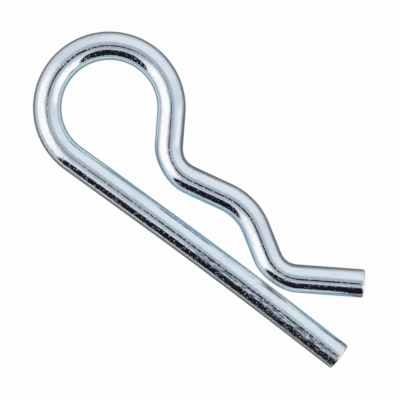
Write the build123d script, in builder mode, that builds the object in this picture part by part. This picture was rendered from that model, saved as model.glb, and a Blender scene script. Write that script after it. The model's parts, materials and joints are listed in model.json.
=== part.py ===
from build123d import *
import os
from math import asin, atan2, cos, degrees, hypot, radians, sin

# Hairpin cotter: one length of round steel wire, bent in one plane and lying flat.
# +X runs along the straight leg from the eye to the tip, +Y from the straight leg to the bent leg.
# The origin is on the surface it lies on, under the middle of its length and the centre of its eye.
# Lengths are in millimetres and turns in degrees.

# Wire, sheared square at both ends, with the sharp edges of the cuts taken off
wire_diameter = 4.5
end_bevel = 0.3
overall_length = 65.1

# Eye, the round head that a finger or a pair of pliers pulls
eye_inside_diameter = 15.2

# Straight leg, from its free end: a straight tip, a slight bow towards the bent leg, a straight heel
tip_run = 8.7
bow_share = 0.56
bow_turn = 1.9

# Neck, the tight bend between the eye and the hump, with the straight wire before it
drop_run = 4.95
neck_radius = 5.9
neck_gap = 3.15

# Hump, bent round a shaft whose centre lies on the straight leg, with the straight wire before it
rise_run = 6.25
shaft_diameter = 14.1

# Pinch, the tight bend that closes on the straight leg, with the straight wire before it
fall_run = 4.65
pinch_radius = 5.8
pinch_gap = 0.5

# Tail, flared away from the straight leg to let the shaft in
tail_run = 10.4
tail_turn = 33.5

# A tight bend narrows the wire in the plane of the bend, most at the middle of the bend
squeeze_share = 0.06
squeeze_station_shares = (0, 0.25, 0.5, 0.75, 1)

# Sizes of the wire's centre line
wire_radius = wire_diameter / 2
squeeze = wire_radius * squeeze_share
eye_radius = eye_inside_diameter / 2 + wire_radius
hump_radius = shaft_diameter / 2 + wire_radius

# Straight leg: the tip lies along +X, and the heel leans by the bow's turn to meet the eye
tip_x = overall_length / 2
eye_x = wire_radius + eye_radius - overall_length / 2
bow_angle = radians(bow_turn)
bow_run = bow_share * (tip_x - eye_x)
bow_radius = bow_run / bow_angle
heel_run = (tip_x - tip_run - eye_x - (bow_radius + eye_radius) * sin(bow_angle)) / cos(bow_angle)
leg_y = heel_run * sin(bow_angle) + bow_radius * (1 - cos(bow_angle)) - eye_radius * cos(bow_angle)

# Heights of the two tight bends' centres, each bend clear of the straight leg by its gap
bend_floor_y = leg_y + wire_radius + wire_radius - squeeze
neck_y = bend_floor_y + neck_gap + neck_radius
pinch_y = bend_floor_y + pinch_gap + pinch_radius


def heading_between(first_radius, run, next_radius, climb, next_side):
    """Heading of the straight run that leaves one bend and enters the next, which turns the other way.

    climb is how much higher the next bend's centre lies, and next_side is 1 for a left turn, -1 for a right.
    """
    across = first_radius + next_radius
    return degrees(asin(climb / hypot(run, across)) - next_side * atan2(across, run))


heel_heading = 180 + bow_turn
drop_heading = heading_between(eye_radius, drop_run, neck_radius, neck_y, 1)
rise_heading = heading_between(neck_radius, rise_run, hump_radius, leg_y - neck_y, -1)
fall_heading = heading_between(hump_radius, fall_run, pinch_radius, pinch_y - leg_y, 1)

# Centre line, from the tip of the straight leg to the end of the tail
with BuildLine(Plane.XY.offset(wire_radius)):
    tip = Line((tip_x, leg_y), (tip_x - tip_run, leg_y))
    bow = JernArc(tip @ 1, tip % 1, bow_radius, bow_turn)
    heel = PolarLine(bow @ 1, heel_run, direction=bow % 1)
    eye = JernArc(heel @ 1, heel % 1, eye_radius, drop_heading - heel_heading)
    drop = PolarLine(eye @ 1, drop_run, direction=eye % 1)
    neck = JernArc(drop @ 1, drop % 1, neck_radius, rise_heading - drop_heading)
    rise = PolarLine(neck @ 1, rise_run, direction=neck % 1)
    hump = JernArc(rise @ 1, rise % 1, hump_radius, fall_heading - rise_heading)
    fall = PolarLine(hump @ 1, fall_run, direction=hump % 1)
    pinch = JernArc(fall @ 1, fall % 1, pinch_radius, tail_turn - fall_heading)
    tail = PolarLine(pinch @ 1, tail_run, direction=pinch % 1)

with BuildPart() as cotter_pin:
    # The wire keeps its round section along the runs and the wide bends
    for stretch in ((tip, bow, heel, eye, drop), (rise, hump, fall), (tail,)):
        with BuildSketch(Plane(stretch[0] @ 0, z_dir=stretch[0] % 0)):
            Circle(wire_radius)
        sweep(path=stretch)

    # The two tight bends go from round to narrowed and back
    for bend in (neck, pinch):
        for station_share in squeeze_station_shares:
            narrowing = squeeze * sin(radians(180 * station_share)) ** 2
            with BuildSketch(Plane(bend @ station_share, x_dir=Axis.Z.direction, z_dir=bend % station_share)):
                Ellipse(wire_radius, wire_radius - narrowing)
        sweep(path=bend, multisection=True)

    # The sheared ends
    chamfer(faces().filter_by(GeomType.PLANE).edges(), end_bevel)

os.makedirs("parts", exist_ok=True)
cotter_pin.part.label = "cotter_pin"
export_step(cotter_pin.part, "parts/cotter_pin.step")
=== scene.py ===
import json
from math import asin, atan2, ceil, cos, hypot, pi, radians, sin

import bmesh
import bpy
from bpy.props import FloatProperty, FloatVectorProperty, IntProperty, PointerProperty
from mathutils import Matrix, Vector, noise


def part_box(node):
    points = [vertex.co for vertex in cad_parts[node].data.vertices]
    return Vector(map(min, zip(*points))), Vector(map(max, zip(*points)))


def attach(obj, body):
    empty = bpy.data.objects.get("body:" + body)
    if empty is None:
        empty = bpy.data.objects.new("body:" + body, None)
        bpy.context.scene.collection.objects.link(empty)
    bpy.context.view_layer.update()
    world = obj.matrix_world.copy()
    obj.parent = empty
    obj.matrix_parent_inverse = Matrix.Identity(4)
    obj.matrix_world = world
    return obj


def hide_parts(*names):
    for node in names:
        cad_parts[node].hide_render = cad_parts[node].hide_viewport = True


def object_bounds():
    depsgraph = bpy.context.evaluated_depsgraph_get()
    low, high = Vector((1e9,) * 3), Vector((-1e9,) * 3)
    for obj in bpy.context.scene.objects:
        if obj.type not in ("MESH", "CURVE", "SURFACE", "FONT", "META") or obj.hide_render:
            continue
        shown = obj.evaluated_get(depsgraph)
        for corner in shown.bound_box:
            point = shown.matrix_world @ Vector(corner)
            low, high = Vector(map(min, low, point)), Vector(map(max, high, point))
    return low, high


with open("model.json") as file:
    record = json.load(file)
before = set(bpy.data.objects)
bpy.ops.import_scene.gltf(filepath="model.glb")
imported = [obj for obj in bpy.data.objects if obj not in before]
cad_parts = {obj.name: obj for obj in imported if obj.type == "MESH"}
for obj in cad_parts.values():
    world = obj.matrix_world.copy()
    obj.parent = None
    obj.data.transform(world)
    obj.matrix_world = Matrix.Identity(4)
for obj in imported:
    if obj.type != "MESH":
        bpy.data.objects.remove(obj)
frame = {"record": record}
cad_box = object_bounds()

bl_info = {
    "name": "Hairpin Cotter",
    "version": (1, 0, 0),
    "blender": (4, 5, 0),
    "location": "View3D > Sidebar > Cotter",
    "description": "Bends and plates the wire of a hairpin cotter over its CAD solid, and lights it",
    "category": "Object",
}

NODE = "cotter_pin"
MM = 0.001

# What the frame already says about the pin
node_low, node_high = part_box(NODE)
mount_sizes = {mount["name"]: mount["dims"] for mount in frame["record"]["mounts"]}


# Settings

def length(name, default, description):
    """A length in metres."""
    return FloatProperty(
        name=name, description=description, default=default, min=0, precision=5, unit="LENGTH"
    )


def share(name, default, description):
    """A share from 0 to 1."""
    return FloatProperty(
        name=name, description=description, default=default, min=0, max=1, precision=3, subtype="FACTOR"
    )


def angle(name, degrees, description):
    """An angle, given here in degrees."""
    return FloatProperty(
        name=name, description=description, default=radians(degrees), precision=3, subtype="ANGLE"
    )


def colour(name, default, description):
    """A linear colour."""
    return FloatVectorProperty(
        name=name, description=description, default=default, min=0, soft_max=1, size=3, subtype="COLOR"
    )


class CotterWire(bpy.types.PropertyGroup):
    """Sizes of the bent wire, the same as those of its CAD solid"""

    wire_diameter: length(
        "Wire diameter", float(node_high[2] - node_low[2]), "Diameter of the round wire"
    )
    overall_length: length(
        "Overall length", float(2 * node_high[0]), "Length from the eye to the leg's tip"
    )
    end_roll: length("End roll", 0.3 * MM, "Radius to which the edge of each sheared end is rolled over")
    eye_inside_diameter: length(
        "Eye inside diameter", 2 * MM * mount_sizes["eye"]["r_mm"], "Clear width of the round eye"
    )
    tip_run: length("Tip run", 8.7 * MM, "Straight wire at the leg's free end")
    bow_share: share("Bow share", 0.56, "Share of the leg, from the eye's centre to the tip, that is bowed")
    bow_turn: angle("Bow turn", 1.9, "Turn of the leg's bow")
    drop_run: length("Drop run", 4.95 * MM, "Straight wire between the eye and the neck")
    neck_radius: length("Neck radius", 5.9 * MM, "Bend radius of the neck at the middle of the wire")
    neck_gap: length("Neck gap", 3.15 * MM, "Gap between the neck and the leg")
    rise_run: length("Rise run", 6.25 * MM, "Straight wire between the neck and the hump")
    shaft_diameter: length(
        "Shaft diameter", 2 * MM * mount_sizes["shaft_seat"]["r_mm"], "Diameter of the shaft under the hump"
    )
    fall_run: length("Fall run", 4.65 * MM, "Straight wire between the hump and the pinch")
    pinch_radius: length("Pinch radius", 5.8 * MM, "Bend radius of the pinch at the middle of the wire")
    pinch_gap: length("Pinch gap", 0.5 * MM, "Gap between the pinch and the leg")
    tail_run: length("Tail run", 10.4 * MM, "Straight wire of the flared tail")
    tail_turn: angle("Tail turn", 33.5, "Angle between the tail and the leg's tip")
    squeeze_share: share("Squeeze share", 0.06, "Share of the wire's width lost in the two tight bends")
    facets_around: IntProperty(name="Facets around", description="Facets round the wire", default=64, min=12)
    facet_length: length("Facet length", 0.22 * MM, "Length of a facet along the wire")
    cut_depth: length("Cut depth", 0.05 * MM, "Depth of the broken part of each sheared end")


class CotterZinc(bpy.types.PropertyGroup):
    """Bright zinc plate over drawn wire"""

    plate: colour("Plate", (0.80, 0.825, 0.85), "Colour of clean plate")
    cloud: colour("Cloud", (0.70, 0.74, 0.79), "Colour of the duller clouds in the plate")
    pit: colour("Pit", (0.42, 0.44, 0.47), "Colour of the fine pits")
    cloud_size: length("Cloud size", 3.5 * MM, "Size of the clouds")
    line_width: length("Line width", 0.25 * MM, "Width of the draw lines")
    line_length: length("Line length", 2.5 * MM, "Length of the draw lines")
    line_height: length("Line height", 0.003 * MM, "Height of the draw lines")
    scuff_size: length("Scuff size", 0.27 * MM, "Width of the scuffs along the leg")
    scuff_height: length("Scuff height", 0.016 * MM, "Height of the scuffs")
    scuff_reach: length("Scuff reach", 36 * MM, "How far the scuffs run up the leg from its tip")
    # Painted reflection: a dark band along the leg's outer side, darkening the metal where it mirrors the
    # dark gap
    rub: colour("Rub", (0.24, 0.25, 0.32), "Colour of the band that the drilled hole has rubbed")
    rub_start: length("Rub start", 5 * MM, "Distance from the leg's tip to the rubbed band")
    rub_end: length("Rub end", 26 * MM, "Distance from the leg's tip to the rubbed band's other end")
    rub_fade: length("Rub fade", 6 * MM, "Length over which the rubbed band fades out")
    rub_width: length("Rub width", 0.95 * MM, "Width of the rubbed band")
    grain_size: length("Grain size", 0.27 * MM, "Size of the raised grains of the plate")
    grain_height: length("Grain height", 0.012 * MM, "Height of the raised grains")
    wave_size: length("Wave size", 1.8 * MM, "Size of the slow waves in the wire's surface")
    wave_height: length("Wave height", 0.010 * MM, "Height of the slow waves")
    gloss: share("Gloss roughness", 0.06, "Roughness of clean plate")
    dull: share("Dull roughness", 0.16, "Roughness of the clouds")
    cut: share("Cut roughness", 0.42, "Roughness of the sheared ends")


def window_settings(name, label, azimuth, half_width, top, bottom, fade, tone, lean=0):
    """Class of settings for one soft-edged window of the room.

    azimuth is counted from the picture's right, turning to its top; top and bottom from straight up.
    lean moves all of it towards its azimuth.
    """
    words = label.lower()
    return type(name, (bpy.types.PropertyGroup,), {
        "__doc__": label,
        "__annotations__": {
            "azimuth": angle("Azimuth", azimuth, f"Direction of the {words} in the picture"),
            "half_width": angle("Half width", half_width, f"Half of the {words}'s width"),
            "top": angle("Top", top, f"Upper edge of the {words}, from straight up"),
            "bottom": angle("Bottom", bottom, f"Lower edge of the {words}, from straight up"),
            "fade": angle("Fade", fade, f"Width over which the {words}'s edges fade out"),
            "lean": angle("Lean", lean, f"How far the {words} is moved towards its azimuth"),
            "tone": colour("Tone", tone, f"Light from the {words}"),
        },
    })


# Half width of a window that goes all the way round, in degrees
ALL_ROUND = 720

CotterBackPanel = window_settings(
    "CotterBackPanel", "Back panel", 62, 44, 18, 110, 30, (0.85, 0.93, 0.985)
)
CotterCanopy = window_settings(
    "CotterCanopy", "Canopy", 0, ALL_ROUND, -28, 28, 16, (0.46, 0.53, 0.61)
)
CotterLeftPanel = window_settings(
    "CotterLeftPanel", "Left panel", 184, 40, 15, 80, 18, (1.20, 1.17, 1.14)
)
CotterRightPanel = window_settings(
    "CotterRightPanel", "Right panel", -35, 35, 38, 130, 20, (1.19, 1.17, 1.15)
)
CotterFrontGap = window_settings(
    "CotterFrontGap", "Front gap", -98, 41, 35, 150, 6, (0.010, 0.012, 0.019)
)
CotterLens = window_settings(
    "CotterLens", "Lens", -75, ALL_ROUND, -7, 7, 2, (0.015, 0.015, 0.02), 4
)


class CotterStudio(bpy.types.PropertyGroup):
    """Camera, floor and the soft room round the pin"""

    # Room
    room: colour("Room", (0.755, 0.805, 0.87), "Light from the pale room")
    back_panel: PointerProperty(type=CotterBackPanel)
    canopy: PointerProperty(type=CotterCanopy)
    left_panel: PointerProperty(type=CotterLeftPanel)
    right_panel: PointerProperty(type=CotterRightPanel)
    front_gap: PointerProperty(type=CotterFrontGap)
    lens: PointerProperty(type=CotterLens)

    # Shape of the floor
    floor_radius: FloatProperty(
        name="Floor radius", description="Radius of the floor", default=3, min=0, unit="LENGTH"
    )
    floor_corners: IntProperty(
        name="Floor corners", description="Corners of the round floor", default=96, min=12
    )
    # Line in front past which the floor paints a reflection of the dark gap, seen only in the metal
    floor_front: length("Floor front", 30 * MM, "Distance from the origin to the floor's front edge")
    floor_front_fade: length("Floor front fade", 12 * MM, "Width over which the front edge fades out")

    # Colours of the floor: its pale colour, painted shade near the pin and a painted contact shadow under the
    # wire, and how far over the floor the wire's painted shade reaches
    floor: colour("Floor", (0.95, 0.96, 0.97), "Colour of the pale floor")
    floor_painted_shade: colour("Floor painted shade the pin", (0.15, 0.165, 0.18), "Colour of the floor close to the pin")
    floor_painted_contact_shadow: colour(
        "Floor under the pin", (0.10, 0.105, 0.11), "Colour of the floor right under the wire"
    )
    shade_reach: length("Shade reach", 20 * MM, "How far the pin shades the floor")
    wire_reach: length("Wire reach", 6 * MM, "How far one wire shades the floor beside it")
    contact_reach: length(
        "Contact reach", 1.2 * MM, "How far over the floor the wire counts as right above"
    )

    # Painted reflections: colours of the floor inside the pin's line, which only the metal mirrors, darker
    # close to the wires as painted shade
    floor_inside: colour(
        "Floor inside", (0.78, 0.96, 1.0), "Colour of the floor further inside the pin's line"
    )
    floor_between_painted_reflection: colour(
        "Floor between painted reflection the legs", (0.28, 0.50, 0.64), "Colour of the floor close to the two legs"
    )
    floor_in_eye_painted_reflection: colour(
        "Floor in the eye", (0.27, 0.39, 0.46), "Colour of the floor close to the eye's wire"
    )
    eye_side: FloatProperty(
        name="Eye side", description="Place along the leg where the eye's floor ends",
        default=-14 * MM, precision=5, unit="LENGTH",
    )
    leg_side: FloatProperty(
        name="Leg side", description="Place along the leg where the floor between the legs begins",
        default=-4 * MM, precision=5, unit="LENGTH",
    )
    painted_reflection_again: share("Floor mirrored twice", 0.90, "How far the close floor turns to that further inside")

    # Share of the floor's look that is its own glow and not lit paper
    floor_glow: share("Floor glow", 0.98, "Share of the floor that is plain white to the camera")
    # Less glow right under the wire is a painted contact shadow
    floor_glow_painted_contact_shadow: share(
        "Floor glow under the pin", 0.35, "Share that is plain white to the camera right under the wire"
    )
    floor_glow_in_metal: share("Floor glow in metal", 0.09, "Share that is plain white in a reflection")
    # Glow inside the pin's line, seen only in the metal, is a painted reflection
    floor_glow_between: share(
        "Floor glow between", 0.78, "Share that glows in a reflection inside the pin's line"
    )

    # Camera
    aim: FloatVectorProperty(
        name="Aim", description="Point of the wire's middle plane at the picture's centre",
        default=(-0.157 * MM, -2.735 * MM), size=2, precision=5, unit="LENGTH",
    )
    roll: angle("Roll", 37.793, "Turn of the picture round the view from straight above")
    view_width: length("View width", 63.38 * MM, "Width of the picture at the wire's middle plane")
    focal_length: FloatProperty(
        name="Focal length", description="Lens in millimetres", default=200, min=1, unit="CAMERA"
    )


# Wire

def heading_between(first_radius, run, next_radius, climb, next_side):
    """Heading of the straight run that leaves one bend and enters the next, which turns the other way."""
    across = first_radius + next_radius
    return asin(climb / hypot(run, across)) - next_side * atan2(across, run)


def wire_stretches(sizes):
    """Start of the leg's tip, and each stretch from there to the tail's end.

    A stretch is its length, its turn to the left and the most that its wire is narrowed.
    """
    radius = sizes.wire_diameter / 2
    squeeze = radius * sizes.squeeze_share
    eye_radius = sizes.eye_inside_diameter / 2 + radius
    hump_radius = sizes.shaft_diameter / 2 + radius

    tip_x = sizes.overall_length / 2
    eye_x = radius + eye_radius - tip_x
    bow = sizes.bow_turn
    bow_run = sizes.bow_share * (tip_x - eye_x)
    bow_radius = bow_run / bow
    heel_run = (tip_x - sizes.tip_run - eye_x - (bow_radius + eye_radius) * sin(bow)) / cos(bow)
    leg_y = heel_run * sin(bow) + bow_radius * (1 - cos(bow)) - eye_radius * cos(bow)

    bend_floor_y = leg_y + 2 * radius - squeeze
    neck_y = bend_floor_y + sizes.neck_gap + sizes.neck_radius
    pinch_y = bend_floor_y + sizes.pinch_gap + sizes.pinch_radius

    heel_heading = pi + bow
    drop_heading = heading_between(eye_radius, sizes.drop_run, sizes.neck_radius, neck_y, 1)
    rise_heading = heading_between(sizes.neck_radius, sizes.rise_run, hump_radius, leg_y - neck_y, -1)
    fall_heading = heading_between(hump_radius, sizes.fall_run, sizes.pinch_radius, pinch_y - leg_y, 1)

    eye_turn = drop_heading - heel_heading
    neck_turn = rise_heading - drop_heading
    hump_turn = fall_heading - rise_heading
    pinch_turn = sizes.tail_turn - fall_heading
    stretches = [
        (sizes.tip_run, 0, 0),
        (bow_run, bow, 0),
        (heel_run, 0, 0),
        (-eye_radius * eye_turn, eye_turn, 0),
        (sizes.drop_run, 0, 0),
        (sizes.neck_radius * neck_turn, neck_turn, squeeze),
        (sizes.rise_run, 0, 0),
        (-hump_radius * hump_turn, hump_turn, 0),
        (sizes.fall_run, 0, 0),
        (sizes.pinch_radius * pinch_turn, pinch_turn, squeeze),
        (sizes.tail_run, 0, 0),
    ]
    return Vector((tip_x, leg_y, radius)), stretches


def wire_stations(sizes):
    """Middle, heading, place along the wire and narrowing of each ring, from the tip to the tail's end."""
    place, stretches = wire_stretches(sizes)
    heading = pi
    along = 0
    stations = []
    for run, turn, squeeze in stretches:
        steps = ceil(run / sizes.facet_length)
        for step in range(steps):
            done = step / steps
            swung = heading + turn * done
            chord = run * done
            if turn:
                chord = 2 * run / turn * sin(turn * done / 2)
            toward = heading + turn * done / 2
            middle = place + chord * Vector((cos(toward), sin(toward), 0))
            stations.append((middle, swung, along + run * done, squeeze * sin(pi * done) ** 2))
        chord = 2 * run / turn * sin(turn / 2) if turn else run
        toward = heading + turn / 2
        place = place + chord * Vector((cos(toward), sin(toward), 0))
        heading += turn
        along += run
    stations.append((place, heading, along, 0))
    return stations


# Rings of a sheared end: over its rolled edge, and from there to the middle of its face
ROLL_STEPS = 5
FACE_STEPS = 12

# Broken half of a sheared end: how fast it sets in and its lumps, both per radius, and the share that it dips
BREAK_SLOPE = 1.6
BREAK_LUMPS = 5
DIP_MEAN_SHARE = 0.75
DIP_LUMP_SHARE = 0.5


def shear_dip(across, up, seed, radius):
    """Share of the cut depth at a point of a sheared end: smooth above, broken and lower below."""
    broken = min(max(0.5 - BREAK_SLOPE * up / radius, 0), 1)
    lump = noise.noise(Vector((across, up, seed * radius)) * (BREAK_LUMPS / radius))
    eased = broken * broken * (3 - 2 * broken)
    return eased * (DIP_MEAN_SHARE + DIP_LUMP_SHARE * lump)


class WireMesh:
    """Rings of points along the wire, with the place that each point had before the wire was bent."""

    def __init__(self, sizes):
        self.sizes = sizes
        self.radius = sizes.wire_diameter / 2
        self.around = sizes.facets_around
        self.points = []
        self.drawn = []
        self.cut = []
        self.faces = []

    def point(self, middle, heading, along, across, up, cut):
        """One point, across to the left of the wire's heading and up from its middle."""
        left = Vector((-sin(heading), cos(heading), 0))
        self.points.append(middle + across * left + Vector((0, 0, up)))
        self.drawn.append((across, up, along))
        self.cut.append(cut)

    def ring(self, middle, heading, along, across_radius, up_radius, cut=0):
        """One ring, joined to the ring before it."""
        first = len(self.points)
        for facet in range(self.around):
            turn = 2 * pi * facet / self.around
            self.point(middle, heading, along, across_radius * cos(turn), up_radius * sin(turn), cut)
        self.join(first)

    def join(self, first):
        """Faces between the ring that starts at first and the one before it."""
        before = first - self.around
        if before < 0:
            return
        for facet in range(self.around):
            following = (facet + 1) % self.around
            self.faces.append((before + facet, before + following, first + following, first + facet))

    def end_rings(self):
        """Radius, depth and cut share of each ring of a sheared end, from the wire's side inwards."""
        roll = self.sizes.end_roll
        rings = []
        for step in range(1, ROLL_STEPS + 1):
            done = step / ROLL_STEPS
            bent = done * pi / 2
            rings.append((self.radius - roll * (1 - cos(bent)), roll * (sin(bent) - 1), done))
        flat = self.radius - roll
        for step in range(1, FACE_STEPS):
            rings.append((flat * (1 - step / FACE_STEPS), 0, 1))
        return rings

    def cut_point(self, station, outward, depth, cut, across, up):
        """One point of a sheared end, dipped where the wire broke instead of being cut."""
        middle, heading, along, _ = station
        ahead = Vector((cos(heading), sin(heading), 0))
        dip = cut ** 2 * self.sizes.cut_depth * shear_dip(across, up, outward, self.radius)
        shift = outward * (depth - dip)
        self.point(middle + ahead * shift, heading, along + shift, across, up, cut)

    def cut_ring(self, station, outward, ring_radius, depth, cut):
        """One ring of a sheared end, joined to the ring before it."""
        first = len(self.points)
        for facet in range(self.around):
            turn = 2 * pi * facet / self.around
            self.cut_point(station, outward, depth, cut, ring_radius * cos(turn), ring_radius * sin(turn))
        self.join(first)

    def close(self, station, outward, first):
        """The point in the middle of a sheared end, joined to its innermost ring, which starts at first."""
        centre = len(self.points)
        self.cut_point(station, outward, 0, 1, 0, 0)
        for facet in range(self.around):
            following = (facet + 1) % self.around
            pair = (first + facet, first + following)
            self.faces.append((*(pair if outward > 0 else pair[::-1]), centre))

    def build(self, name):
        """Mesh of the whole wire."""
        stations = wire_stations(self.sizes)
        roll = self.sizes.end_roll
        start, finish = stations[0], stations[-1]
        whole = finish[2]

        # Leg's tip, from the middle of its face out to the wire's side
        for end_ring in reversed(self.end_rings()):
            self.cut_ring(start, -1, *end_ring)

        for middle, heading, along, narrowing in stations:
            if roll <= along <= whole - roll:
                self.ring(middle, heading, along, self.radius - narrowing, self.radius)

        # Tail's end, from the wire's side to the middle of its face
        for end_ring in self.end_rings():
            self.cut_ring(finish, 1, *end_ring)

        last_ring = len(self.points) - self.around
        self.close(start, -1, 0)
        self.close(finish, 1, last_ring)

        mesh = bpy.data.meshes.new(name)
        mesh.from_pydata(self.points, [], self.faces)
        drawn = mesh.attributes.new("drawn", "FLOAT_VECTOR", "POINT")
        drawn.data.foreach_set("vector", [value for place in self.drawn for value in place])
        cut = mesh.attributes.new("cut", "FLOAT", "POINT")
        cut.data.foreach_set("value", self.cut)
        mesh.shade_smooth()
        mesh.validate()
        return mesh


# Nodes

def add_node(tree, kind, settings=None, **inputs):
    """A node with its settings, and each input linked to a socket or set to a value.

    An input is named by its socket in lower case, with _ for a space, or by i and its number.
    """
    node = tree.nodes.new(kind)
    for key, value in (settings or {}).items():
        setattr(node, key, value)
    named = {socket.name.lower().replace(" ", "_"): socket for socket in reversed(node.inputs)}
    for key, value in inputs.items():
        numbered = key[0] == "i" and key[1:].isdigit()
        socket = node.inputs[int(key[1:])] if numbered else named[key]
        if isinstance(value, bpy.types.NodeSocket):
            tree.links.new(value, socket)
        else:
            socket.default_value = value
    return node


def maths(tree, operation, first, second=0.0):
    """A sum, product or other operation on two values."""
    return add_node(tree, "ShaderNodeMath", {"operation": operation}, i0=first, i1=second).outputs[0]


def dot(tree, first, second):
    """How far one vector goes along another."""
    settings = {"operation": "DOT_PRODUCT"}
    return add_node(tree, "ShaderNodeVectorMath", settings, i0=first, i1=second).outputs["Value"]


def blend(tree, factor, first, second):
    """A colour between two colours."""
    settings = {"data_type": "RGBA"}
    return add_node(tree, "ShaderNodeMix", settings, i0=factor, i6=first, i7=second).outputs[2]


def opaque(tone):
    """A colour with its alpha."""
    return (*tone, 1)


def ramp(tree, value, low, high):
    """0 at the low value, 1 at the high one, smooth between."""
    settings = {"interpolation_type": "SMOOTHSTEP"}
    return add_node(tree, "ShaderNodeMapRange", settings, value=value, from_min=low, from_max=high).outputs[0]


def mix_values(tree, factor, first, second):
    """A value between two values."""
    return add_node(tree, "ShaderNodeMapRange", value=factor, to_min=first, to_max=second).outputs[0]


# Zinc plate

# Marks in the plate: how far they are drawn out along the wire, how fine their noise is,
# and the values of the noise where they start and where they are full
CLOUDS = {"stretch": 2.0, "detail": 4.0, "start": 0.40, "full": 0.68}
GRAINS = {"stretch": 1.4, "detail": 1.0, "start": 0.60, "full": 0.73}
PITS = {"stretch": 1.0, "detail": 1.0, "start": 0.76, "full": 0.84}
SCUFFS = {"stretch": 2.6, "detail": 2.0, "start": 0.53, "full": 0.68}
# Speckle of the dark band of painted reflection along the leg
PAINTED_DARK_BAND_MARKS = {"stretch": 4.0, "detail": 2.0, "start": 0.42, "full": 0.58}
LINE_START, LINE_FULL = 0.30, 0.65
LINE_DETAIL = 2.0
WAVE_STRETCH = 2.5
WAVE_DETAIL = 1.0
NOISE_ROUGHNESS = 0.55

# Size of a pit against that of a grain
PIT_TO_GRAIN = 1.2

# Edges of the dark band of painted reflection, each where it is clear and where it is full, as shares of the
# band's width
PAINTED_DARK_BAND_EDGE_SHARES = ((0.0, 0.25), (1.1, 0.8))


def cells(tree, place, size, stretch, detail):
    """Noise of one size across the wire, drawn out along it by a stretch."""
    scaled = add_node(
        tree, "ShaderNodeVectorMath", {"operation": "MULTIPLY"}, i0=place, i1=(1, 1, 1 / stretch)
    ).outputs[0]
    return add_node(
        tree, "ShaderNodeTexNoise", vector=scaled, scale=1 / size, detail=detail, roughness=NOISE_ROUGHNESS
    ).outputs[0]


def marks(tree, place, size, stretch, detail, start, full):
    """Mask of marks scattered over the wire."""
    return ramp(tree, cells(tree, place, size, stretch, detail), start, full)


def zinc_plate(finish):
    """Bright zinc plate: clouds, draw lines, grain, pits, scuffs, a rubbed band and rough sheared ends."""
    material = bpy.data.materials.new("zinc_plate")
    material.use_nodes = True
    tree = material.node_tree
    tree.nodes.clear()
    place = add_node(tree, "ShaderNodeAttribute", {"attribute_name": "drawn"}).outputs["Vector"]
    cut = add_node(tree, "ShaderNodeAttribute", {"attribute_name": "cut"}).outputs["Fac"]

    line_stretch = finish.line_length / finish.line_width
    lines = cells(tree, place, finish.line_width, line_stretch, LINE_DETAIL)
    waves = cells(tree, place, finish.wave_size, WAVE_STRETCH, WAVE_DETAIL)
    clouds = marks(tree, place, finish.cloud_size, **CLOUDS)
    grains = marks(tree, place, finish.grain_size, **GRAINS)
    pits = marks(tree, place, PIT_TO_GRAIN * finish.grain_size, **PITS)
    scuffs = marks(tree, place, finish.scuff_size, **SCUFFS)
    painted_dark_band_mask = marks(tree, place, finish.scuff_size, **PAINTED_DARK_BAND_MARKS)

    dulled = maths(tree, "MULTIPLY", clouds, ramp(tree, lines, LINE_START, LINE_FULL))
    plate = blend(tree, dulled, opaque(finish.plate), opaque(finish.cloud))
    plate = blend(tree, pits, plate, opaque(finish.pit))

    # Painted reflection: a dark band along the leg's outer side, where the metal mirrors the dark gap
    spread = add_node(tree, "ShaderNodeSeparateXYZ", i0=place).outputs
    across, along = spread["X"], spread["Z"]
    band = [
        (along, finish.rub_start - finish.rub_fade, finish.rub_start),
        (along, finish.rub_end + finish.rub_fade, finish.rub_end),
    ]
    for clear, full in PAINTED_DARK_BAND_EDGE_SHARES:
        band.append((across, clear * finish.rub_width, full * finish.rub_width))
    for measure, clear, full in band:
        painted_dark_band_mask = maths(tree, "MULTIPLY", painted_dark_band_mask, ramp(tree, measure, clear, full))
    plate = blend(tree, painted_dark_band_mask, plate, opaque(finish.rub))

    rough = mix_values(tree, dulled, finish.gloss, finish.dull)
    rough = add_node(
        tree, "ShaderNodeMix", {"data_type": "FLOAT"}, i0=cut, i2=rough, i3=finish.cut
    ).outputs[0]

    scuffs = maths(tree, "MULTIPLY", scuffs, ramp(tree, along, finish.scuff_reach, 0.0))
    height = maths(tree, "MULTIPLY", lines, finish.line_height)
    for relief, relief_height in (
        (scuffs, finish.scuff_height), (grains, finish.grain_height), (waves, finish.wave_height)
    ):
        height = maths(tree, "ADD", height, maths(tree, "MULTIPLY", relief, relief_height))
    bump = add_node(tree, "ShaderNodeBump", strength=1.0, distance=1.0, height=height).outputs[0]

    shader = add_node(
        tree, "ShaderNodeBsdfPrincipled", base_color=plate, metallic=1.0, roughness=rough, normal=bump
    ).outputs[0]
    add_node(tree, "ShaderNodeOutputMaterial", surface=shader)
    return material


# Studio

# Shares of the room seen from the floor, over which its open colours come in past the painted shade close to
# the wires, and over which its painted contact shadow comes in
OPEN_AROUND_SHARES = (0.93, 1.005)
OPEN_BESIDE_SHARES = (0.86, 1.0)
PAINTED_CONTACT_SHADOW_SHARES = (0.78, 0.35)

# Power of a window's rounded outline: 2 is an oval, more is squarer
WINDOW_POWER = 3.0


def floor_mesh(sizes, studio, level):
    """A round floor whose faces inside the line of the bent wire are marked."""
    shape = bmesh.new()
    inside = shape.faces.layers.float.new("inside")
    line = [station[0] for station in wire_stations(sizes)]
    turns = [2 * pi * corner / studio.floor_corners for corner in range(studio.floor_corners)]
    rim = [studio.floor_radius * Vector((cos(turn), sin(turn), 0)) for turn in turns]
    loops = []
    for places in (rim, line):
        corners = [shape.verts.new((place.x, place.y, level)) for place in places]
        for first, second in zip(corners, corners[1:] + corners[:1]):
            shape.edges.new((first, second))
        loops.append(corners)
    bmesh.ops.triangle_fill(shape, edges=shape.edges[:], use_beauty=True, normal=(0, 0, 1))
    shape.faces.new(loops[1])[inside] = 1
    bmesh.ops.triangulate(shape, faces=shape.faces[:])
    mesh = bpy.data.meshes.new("floor")
    shape.to_mesh(mesh)
    shape.free()
    return mesh


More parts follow.
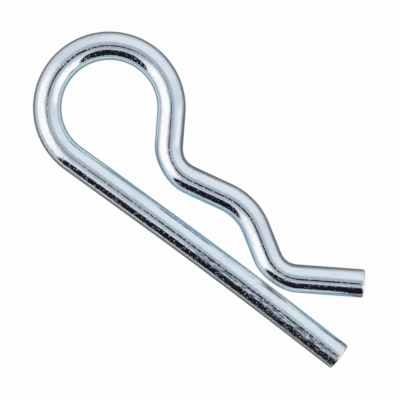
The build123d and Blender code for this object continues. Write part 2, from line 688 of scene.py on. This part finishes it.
def floor_paper(studio):
    """Pale paper, near to white for the camera, with the pin's shadow and what the metal mirrors."""
    material = bpy.data.materials.new("floor_paper")
    material.use_nodes = True
    tree = material.node_tree
    tree.nodes.clear()
    place = add_node(tree, "ShaderNodeNewGeometry").outputs["Position"]
    inside = add_node(tree, "ShaderNodeAttribute", {"attribute_name": "inside"}).outputs["Fac"]
    ray = add_node(tree, "ShaderNodeLightPath").outputs
    mirrored = maths(tree, "MAXIMUM", ray["Is Glossy Ray"], ray["Is Transmission Ray"])
    twice = ramp(tree, ray["Glossy Depth"], 1.0, 2.0)
    shut_in = maths(tree, "MULTIPLY", mirrored, inside)

    # How much of the room the floor sees past the wire, within three reaches, which sets where shade and the
    # contact shadow are painted
    beside, around, under = (
        add_node(tree, "ShaderNodeAmbientOcclusion", distance=reach).outputs["AO"]
        for reach in (studio.wire_reach, studio.shade_reach, studio.contact_reach)
    )
    once = maths(tree, "SUBTRACT", 1.0, twice)
    painted_contact_shadow = maths(tree, "MULTIPLY", ramp(tree, under, *PAINTED_CONTACT_SHADOW_SHARES), once)
    clear = maths(tree, "SUBTRACT", 1.0, painted_contact_shadow)

    # Paper with painted shade near the pin, painted reflection tints inside its line and a painted contact
    # shadow right under its wire
    open_around = ramp(tree, around, *OPEN_AROUND_SHARES)
    tone = blend(tree, open_around, opaque(studio.floor_painted_shade), opaque(studio.floor))
    between_legs = ramp(tree, dot(tree, place, (1, 0, 0)), studio.eye_side, studio.leg_side)
    close = blend(tree, between_legs, opaque(studio.floor_in_eye_painted_reflection), opaque(studio.floor_between_painted_reflection))
    # In a second reflection the painted shade close to the wires turns to the brighter inside tint
    again = maths(tree, "MULTIPLY", twice, studio.painted_reflection_again)
    open_beside = maths(tree, "MAXIMUM", ramp(tree, beside, *OPEN_BESIDE_SHARES), again)
    between = blend(tree, open_beside, close, opaque(studio.floor_inside))
    tone = blend(tree, shut_in, tone, between)
    tone = blend(tree, painted_contact_shadow, tone, opaque(studio.floor_painted_contact_shadow))
    paper = add_node(tree, "ShaderNodeBsdfDiffuse", color=tone).outputs[0]

    # Glow for the camera, lower right under the wire as a painted contact shadow, and a weaker one in the
    # metal, which inside the pin's line is stronger and tinted as a painted reflection
    in_view = mix_values(tree, painted_contact_shadow, studio.floor_glow, studio.floor_glow_painted_contact_shadow)
    in_metal = mix_values(tree, shut_in, studio.floor_glow_in_metal, studio.floor_glow_between)
    seen = maths(tree, "MULTIPLY", ray["Is Camera Ray"], in_view)
    reflected = maths(tree, "MULTIPLY", mirrored, maths(tree, "MULTIPLY", in_metal, clear))
    glow = maths(tree, "MAXIMUM", seen, reflected)
    # Emission colour: white, and inside the pin's line in the metal the tint of the painted reflection
    bright = blend(tree, shut_in, (1, 1, 1, 1), between)
    white = add_node(tree, "ShaderNodeEmission", color=bright, strength=1.0).outputs[0]
    surface = add_node(tree, "ShaderNodeMixShader", i0=glow, i1=paper, i2=white).outputs[0]

    # Painted reflection: past a line in front, the floor shows the dark gap's tone, only in the metal
    azimuth = studio.front_gap.azimuth + studio.roll
    forward = dot(tree, place, (cos(azimuth), sin(azimuth), 0))
    past = ramp(tree, forward, studio.floor_front, studio.floor_front + studio.floor_front_fade)
    gap_tone = opaque(studio.front_gap.tone)
    gap = add_node(tree, "ShaderNodeEmission", color=gap_tone, strength=1.0).outputs[0]
    painted_gap_mask = maths(tree, "MULTIPLY", past, mirrored)
    surface = add_node(tree, "ShaderNodeMixShader", i0=painted_gap_mask, i1=surface, i2=gap).outputs[0]
    add_node(tree, "ShaderNodeOutputMaterial", surface=surface)
    return material


def window_group():
    """Node group: 1 inside a soft-edged window of the room, 0 outside it."""
    group = bpy.data.node_groups.new("soft_window", "ShaderNodeTree")
    for name in ("Direction", "Ahead", "Aside"):
        group.interface.new_socket(name, in_out="INPUT", socket_type="NodeSocketVector")
    for name in ("Half Width", "Top", "Bottom", "Fade", "Lean"):
        group.interface.new_socket(name, in_out="INPUT", socket_type="NodeSocketFloat")
    group.interface.new_socket("Mask", in_out="OUTPUT", socket_type="NodeSocketFloat")
    given = group.nodes.new("NodeGroupInput").outputs

    moved = add_node(
        group, "ShaderNodeVectorMath", {"operation": "SCALE"}, vector=given["Ahead"], scale=given["Lean"]
    ).outputs[0]
    leaned = add_node(
        group, "ShaderNodeVectorMath", {"operation": "SUBTRACT"}, i0=given["Direction"], i1=moved
    ).outputs[0]
    leaned = add_node(group, "ShaderNodeVectorMath", {"operation": "NORMALIZE"}, i0=leaned).outputs[0]
    ahead = dot(group, leaned, given["Ahead"])
    aside = dot(group, leaned, given["Aside"])
    swing = maths(group, "ABSOLUTE", maths(group, "ARCTAN2", aside, ahead))
    height = add_node(group, "ShaderNodeSeparateXYZ", i0=leaned).outputs["Z"]
    zenith = maths(group, "ARCCOSINE", height)

    # A rounded oblong: 1 on its edge, less inside it
    middle = maths(group, "MULTIPLY", maths(group, "ADD", given["Top"], given["Bottom"]), 0.5)
    half_height = maths(group, "SUBTRACT", given["Bottom"], middle)
    rise = maths(group, "ABSOLUTE", maths(group, "SUBTRACT", zenith, middle))
    wide = maths(group, "POWER", maths(group, "DIVIDE", swing, given["Half Width"]), WINDOW_POWER)
    tall = maths(group, "POWER", maths(group, "DIVIDE", rise, half_height), WINDOW_POWER)
    reach = maths(group, "POWER", maths(group, "ADD", wide, tall), 1 / WINDOW_POWER)

    inside = maths(group, "MULTIPLY", maths(group, "SUBTRACT", 1.0, reach), half_height)
    half_fade = maths(group, "MULTIPLY", given["Fade"], 0.5)
    mask = ramp(group, inside, maths(group, "MULTIPLY", half_fade, -1.0), half_fade)
    add_node(group, "NodeGroupOutput", mask=mask)
    return group


def studio_room(studio):
    """World of a pale room: three panels, a canopy overhead, a dark gap in front and the camera's lens."""
    world = bpy.data.worlds.new("studio_room")
    world.use_nodes = True
    tree = world.node_tree
    tree.nodes.clear()
    group = window_group()
    direction = add_node(tree, "ShaderNodeTexCoord").outputs["Generated"]
    light = opaque(studio.room)
    windows = (
        studio.back_panel, studio.canopy, studio.left_panel, studio.right_panel,
        studio.front_gap, studio.lens,
    )
    for window in windows:
        azimuth = window.azimuth + studio.roll
        mask = add_node(
            tree, "ShaderNodeGroup", {"node_tree": group}, direction=direction,
            ahead=(cos(azimuth), sin(azimuth), 0), aside=(-sin(azimuth), cos(azimuth), 0),
            half_width=window.half_width, top=window.top, bottom=window.bottom, fade=window.fade,
            lean=window.lean,
        ).outputs[0]
        light = blend(tree, mask, light, opaque(window.tone))
    background = add_node(tree, "ShaderNodeBackground", color=light, strength=1.0).outputs[0]
    add_node(tree, "ShaderNodeOutputWorld", surface=background)
    return world


class COTTER_OT_wire(bpy.types.Operator):
    """Bend the wire along the CAD solid's line and plate it"""

    bl_idname = "cotter.wire"
    bl_label = "Bend Wire"

    def execute(self, context):
        sizes = context.scene.cotter_wire
        mesh = WireMesh(sizes).build("hairpin_wire")
        mesh.materials.append(zinc_plate(context.scene.cotter_zinc))
        wire = bpy.data.objects.new("hairpin_wire", mesh)
        context.scene.collection.objects.link(wire)
        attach(wire, "root")
        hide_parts(NODE)

        # A wire that leaves its solid would no longer be the same pin
        slack = sizes.end_roll
        for axis in range(3):
            span = [point[axis] for point in (vertex.co for vertex in mesh.vertices)]
            if abs(min(span) - node_low[axis]) > slack or abs(max(span) - node_high[axis]) > slack:
                raise RuntimeError("the bent wire leaves its CAD solid")
        return {"FINISHED"}


class COTTER_OT_studio(bpy.types.Operator):
    """Lay the floor, light the room and place the camera straight above"""

    bl_idname = "cotter.studio"
    bl_label = "Set Up Studio"

    def execute(self, context):
        scene = context.scene
        studio = scene.cotter_studio

        floor = bpy.data.objects.new("floor", floor_mesh(scene.cotter_wire, studio, cad_box[0][2]))
        scene.collection.objects.link(floor)
        floor.data.materials.append(floor_paper(studio))

        scene.world = studio_room(studio)

        camera_data = bpy.data.cameras.new("camera")
        camera_data.lens = studio.focal_length
        camera = bpy.data.objects.new("camera", camera_data)
        distance = studio.view_width * camera_data.lens / camera_data.sensor_width
        middle = scene.cotter_wire.wire_diameter / 2
        camera.location = (*studio.aim, middle + distance)
        camera.rotation_euler = (0, 0, studio.roll)
        scene.collection.objects.link(camera)
        scene.camera = camera
        scene.view_settings.view_transform = "Standard"
        return {"FINISHED"}


class COTTER_PT_sidebar(bpy.types.Panel):
    """Lists the cotter's sizes, finish and studio"""

    bl_idname = "COTTER_PT_sidebar"
    bl_label = "Hairpin Cotter"
    bl_space_type = "VIEW_3D"
    bl_region_type = "UI"
    bl_category = "Cotter"

    def draw(self, context):
        scene = context.scene
        self.list_settings("Wire", scene.cotter_wire)
        self.list_settings("Zinc", scene.cotter_zinc)
        self.layout.operator(COTTER_OT_wire.bl_idname)
        self.list_settings("Studio", scene.cotter_studio)
        self.layout.operator(COTTER_OT_studio.bl_idname)

    def list_settings(self, label, settings):
        """One box with every setting of a group, and a box inside it for each group that it holds."""
        box = self.layout.box()
        box.label(text=label)
        for key in settings.__annotations__:
            value = getattr(settings, key)
            if isinstance(value, bpy.types.PropertyGroup):
                self.list_settings(key.replace("_", " ").capitalize(), value)
            else:
                box.prop(settings, key)


CLASSES = (
    CotterWire, CotterZinc,
    CotterBackPanel, CotterCanopy, CotterLeftPanel, CotterRightPanel, CotterFrontGap, CotterLens,
    CotterStudio, COTTER_OT_wire, COTTER_OT_studio, COTTER_PT_sidebar,
)


def register():
    for cls in CLASSES:
        bpy.utils.register_class(cls)
    bpy.types.Scene.cotter_wire = PointerProperty(type=CotterWire)
    bpy.types.Scene.cotter_zinc = PointerProperty(type=CotterZinc)
    bpy.types.Scene.cotter_studio = PointerProperty(type=CotterStudio)


def unregister():
    del bpy.types.Scene.cotter_studio
    del bpy.types.Scene.cotter_zinc
    del bpy.types.Scene.cotter_wire
    for cls in reversed(CLASSES):
        bpy.utils.unregister_class(cls)


def main():
    register()
    bpy.ops.cotter.wire()
    bpy.ops.cotter.studio()


if __name__ == "__main__":
    main()
